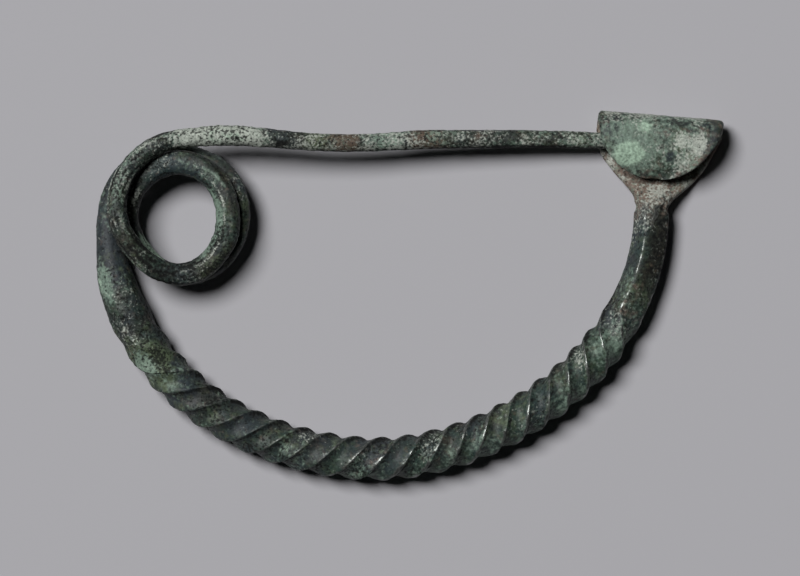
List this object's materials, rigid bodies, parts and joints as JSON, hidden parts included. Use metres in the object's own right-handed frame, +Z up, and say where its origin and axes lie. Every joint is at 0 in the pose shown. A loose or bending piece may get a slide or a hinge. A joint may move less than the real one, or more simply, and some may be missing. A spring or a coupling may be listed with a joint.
{
  "type": "fibula brooch",
  "caption": "Arched-bow bronze dress pin lying on its side: coiled spring, straight pin, rope-twisted bow and a folded half-round catch plate.",
  "frame": {"origin": "middle of the footprint, at the surface that the brooch lies on", "axes": "+X along the pin from the spring to the catch, +Y from the bow to the pin, +Z up from the surface it lies on"},
  "size_m": [0.0896, 0.0528, 0.0092],
  "materials": {
    "bronze_patina": "solid copper alloy, here bronze, under a dark green to grey burial patina with pale crust"
  },
  "bodies": {
    "root": {"fibula": "bronze_patina"}
  },
  "joints": []
}
